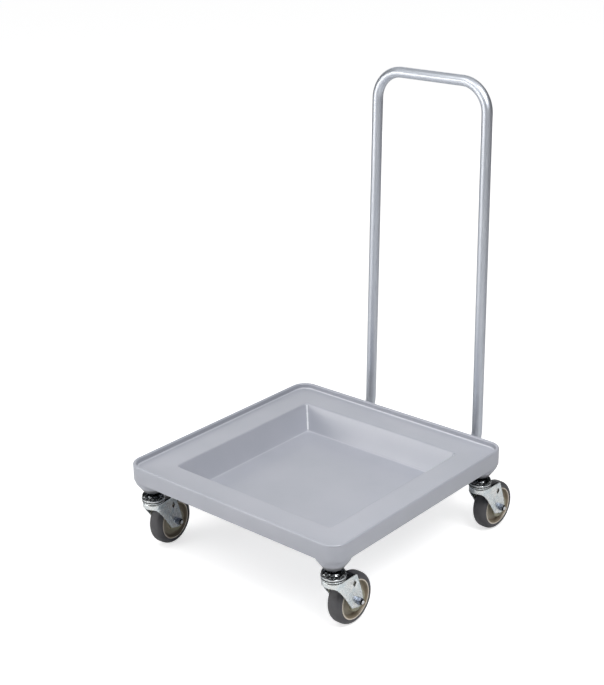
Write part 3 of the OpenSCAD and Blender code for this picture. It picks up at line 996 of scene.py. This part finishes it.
tread_drop = 7
tread = [
    (WHEEL_R - tread_drop * t**3.5, TYRE_HALF * t, 0) for t in np.linspace(0, 1, 16)
]
tyre_outline = both_faces(tread + [(40.7, TYRE_HALF, 0.6), (HUB_R, HUB_HALF, 0)])[1:]
tyre_mesh = on_axle(turned("tyre", tyre_outline, steps=128)).data
hub_mesh = on_axle(
    turned(
        "hub",
        both_faces(
            [
                (HUB_R, HUB_HALF + 0.25, 0.4),
                (37.4, HUB_HALF + 0.25, 0.9),
                (36.0, 12.6, 1.2),
                (34.8, 8.6, 2),
                (32, 7, 2.5),
                (24.5, 7, 2.5),
                (21.6, 9, 1.5),
                (18.4, HUB_HALF, 1.2),
                (9, HUB_HALF, 0.4),
            ]
        ),
        steps=128,
    )
).data

AXLE = Vector((0, TRAIL, WHEEL_R))
# The outermost tone is the raised edge's own pale colour; the two inside it are painted shade in
# the recess.
HUB_EDGE_AND_SHADE_TONES = (
    (36.6, paint(228, 219, 205)),
    (31, paint(148, 137, 119)),
    (21, paint(168, 161, 143)),
)


def hub_edge_and_shade(at, normal):
    """The raised edge is paler than the hub. Inside it the recess is darker, most in the groove:
    painted shade.
    """
    radius = (at - AXLE).yz.length
    for inner, tone in HUB_EDGE_AND_SHADE_TONES:
        if radius > inner:
            return tone


mark(hub_mesh, hub_edge_and_shade)

guard_outline = [
    (AXLE_R, 17.5, 0),
    (GUARD_R - 1.6, 17.5, 0.3),
    (GUARD_R - 1.6, 15.6, 0.3),
    (GUARD_R, 15.6, 0.5),
    (GUARD_R, 19.5, 1.8),
    (AXLE_R, 19.5, 0),
]
guards = [
    turned("guard", rounded([(x, side * y, r) for x, y, r in guard_outline]), steps=96)
    for side in (1, -1)
]
guards_mesh = on_axle(join("thread_guards", *guards)).data
print("tyre", len(tyre_mesh.polygons), "faces, hub", len(hub_mesh.polygons))

# %% [markdown]
# ## Four casters
# The four casters are alike, and only their swivel angles differ. The joints of the CAD model say
# where each one stands and which way its axle points, so each mesh is made once and placed four
# times.

# %% Place the casters
joints = {joint["name"]: joint for joint in frame["joints"]}
CASTER_PIECES = (
    ("fork", fork_mesh, bright_zinc, "swivel"),
    ("grease", gap_grease_and_shade_mesh, grease, "swivel"),
    ("axle_bolt", axle_bolt_mesh, zinc_steel, "swivel"),
    ("axle_nut", axle_nut_mesh, zinc_steel, "swivel"),
    ("thread_guards", guards_mesh, olive_plastic, "swivel"),
    ("hub", hub_mesh, hub_plastic, "wheel"),
    ("tyre", tyre_mesh, tyre_rubber, "wheel"),
    ("top_cup", top_cup_mesh, swivel_chrome, "root"),
    ("dome", dome_mesh, dome_painted_reflection, "root"),
)
OWNER = {"grease": "fork", "dome": "top_cup"}
for mesh in [row[1] for row in CASTER_PIECES]:
    for user in [o for o in bpy.data.objects if o.data == mesh]:
        bpy.data.objects.remove(user)

for name in CASTERS:
    x, y, _ = joints[name + "_swivel_turn"]["pos_m"]
    axle = joints[name + "_wheel_spin"]["axis"]
    yaw = math.atan2(axle[1], axle[0])
    for part, mesh, material, group in CASTER_PIECES:
        piece = bpy.data.objects.new(f"{name}_{part}_piece", mesh)
        bpy.context.scene.collection.objects.link(piece)
        turn = 0 if group == "root" else yaw
        piece.matrix_world = Matrix.Translation((x, y, 0)) @ Matrix.Rotation(turn, 4, "Z")
        body = "root" if group == "root" else f"{name}_{group}"
        dress(piece, material, body, [f"{name}_{OWNER.get(part, part)}"])
    for part, material in (
        ("stem", zinc_steel),
        ("lower_cup", swivel_chrome),
        ("balls", ball_steel),
        ("axle_sleeve", zinc_steel),
        ("bearings", bearing_plastic),
    ):
        keep_node(f"{name}_{part}", material)
    print(name, "yaw", round(math.degrees(yaw), 1))

# %% [markdown]
# ## Floor, backdrop and light
# Product photographs are lit by large soft lamps, against white paper. The floor here takes the
# object's shadow. Only to the camera does it add a glow of its own, so that the paper comes out
# white without any extra light on the object. The world does the same. Mirrored in the metal,
# paper and world don't glow, so the metal shows the lit paper and the lamps.


# %% White paper for the camera
def paper(near, far, near_glow, far_glow):
    """To the camera, the glow goes from near_glow to far_glow between two distances in metres."""
    material = bpy.data.materials.new("paper")
    material.use_nodes = True
    tree = material.node_tree
    shader = tree.nodes["Principled BSDF"]
    shader.inputs["Base Color"].default_value = (0.8, 0.8, 0.8, 1)
    shader.inputs["Roughness"].default_value = 0.9
    shader.inputs["Specular IOR Level"].default_value = 0.1
    glow = tree.nodes.new("ShaderNodeEmission")
    spot = tree.nodes.new("ShaderNodeTexCoord")
    distance = tree.nodes.new("ShaderNodeVectorMath")
    distance.operation = "LENGTH"
    tree.links.new(spot.outputs["Object"], distance.inputs[0])
    spread = tree.nodes.new("ShaderNodeMapRange")
    spread.inputs["From Min"].default_value = near
    spread.inputs["From Max"].default_value = far
    spread.inputs["To Min"].default_value = near_glow
    spread.inputs["To Max"].default_value = far_glow
    tree.links.new(distance.outputs["Value"], spread.inputs["Value"])
    tree.links.new(spread.outputs["Result"], glow.inputs["Strength"])
    both = tree.nodes.new("ShaderNodeAddShader")
    tree.links.new(shader.outputs["BSDF"], both.inputs[0])
    tree.links.new(glow.outputs["Emission"], both.inputs[1])
    choice = tree.nodes.new("ShaderNodeMixShader")
    path = tree.nodes.new("ShaderNodeLightPath")
    tree.links.new(path.outputs["Is Camera Ray"], choice.inputs["Fac"])
    tree.links.new(shader.outputs["BSDF"], choice.inputs[1])
    tree.links.new(both.outputs["Shader"], choice.inputs[2])
    tree.links.new(choice.outputs["Shader"], tree.nodes["Material Output"].inputs["Surface"])
    return material


FAR, UNDER = 9000, 0.2
floor_corners = [(-FAR, -FAR, 0), (FAR, -FAR, 0), (FAR, FAR, 0), (-FAR, FAR, 0)]
floor = add_mesh("floor", floor_corners, [(0, 1, 2, 3)])
floor.location.z = -UNDER * MM
floor.data.materials.append(paper(near=1.2, far=4.5, near_glow=0.66, far_glow=0.95))

world = bpy.data.worlds.new("studio")
bpy.context.scene.world = world
world.use_nodes = True
nodes, links = world.node_tree.nodes, world.node_tree.links
air = nodes["Background"]
air.inputs["Color"].default_value = (0.95, 0.97, 1.0, 1)
air.inputs["Strength"].default_value = 0.04
white = nodes.new("ShaderNodeBackground")
white.inputs["Color"].default_value = (1, 1, 1, 1)
choice, path = nodes.new("ShaderNodeMixShader"), nodes.new("ShaderNodeLightPath")
links.new(path.outputs["Is Camera Ray"], choice.inputs["Fac"])
links.new(air.outputs["Background"], choice.inputs[1])
links.new(white.outputs["Background"], choice.inputs[2])
links.new(choice.outputs["Shader"], nodes["World Output"].inputs["Surface"])

# %% [markdown]
# The shades in the photograph tell where its lamps stood. The back wall of the well and the front
# skirt are brightest, so two wide boxes stand low at the front left. Two more stand high at the
# front, the right one strongest, because the near part of the ledge is brighter than the far one.
# The white backdrop shows as a faint sheen on everything flat, and a broad panel overhead fills.


# %% Lamps
def softbox(name, place, aim, width, height, level, colour):
    """level is how bright the box itself looks; a white wall has 1."""
    lamp = bpy.data.lights.new(name, "AREA")
    lamp.shape = "RECTANGLE"
    lamp.size, lamp.size_y = width, height
    lamp.energy = level * math.pi * width * height
    lamp.color = colour
    box = bpy.data.objects.new(name, lamp)
    box.location = place
    box.rotation_euler = (Vector(aim) - Vector(place)).to_track_quat("-Z", "Y").to_euler()
    bpy.context.scene.collection.objects.link(box)


MIDDLE = (0, 0, 0.2)
WARM, WHITE = (1.0, 0.985, 0.965), (1.0, 1.0, 1.0)
softbox("front_box", (-1.05, -2.2, 0.79), MIDDLE, 1.15, 0.8, 3.7, WARM)
softbox("left_box", (-1.75, -1.7, 0.7), MIDDLE, 0.9, 0.9, 3.1, WARM)
softbox("high_left_box", (-0.6, -1.6, 2.6), MIDDLE, 1.2, 1.2, 3.9, (1.0, 0.99, 0.98))
softbox("high_right_box", (1.5, -0.6, 2.2), MIDDLE, 1.0, 1.0, 11.9, (1.0, 0.99, 0.985))
softbox("overhead", (0.2, -0.3, 3.0), MIDDLE, 5, 5, 0.4, WHITE)
softbox("backdrop", (-2.6, 3.0, 1.3), (0, 0, 0.6), 4.5, 2.2, 0.6, WHITE)
softbox("backdrop_top", (-2.0, 2.3, 2.4), MIDDLE, 3.0, 1.0, 0.85, WHITE)
print("lamps and paper are ready")

# %% [markdown]
# ## The end
# The view transform stays plain, so that colours come out as they were written.

# %% Finish
bpy.context.scene.view_settings.view_transform = "Standard"
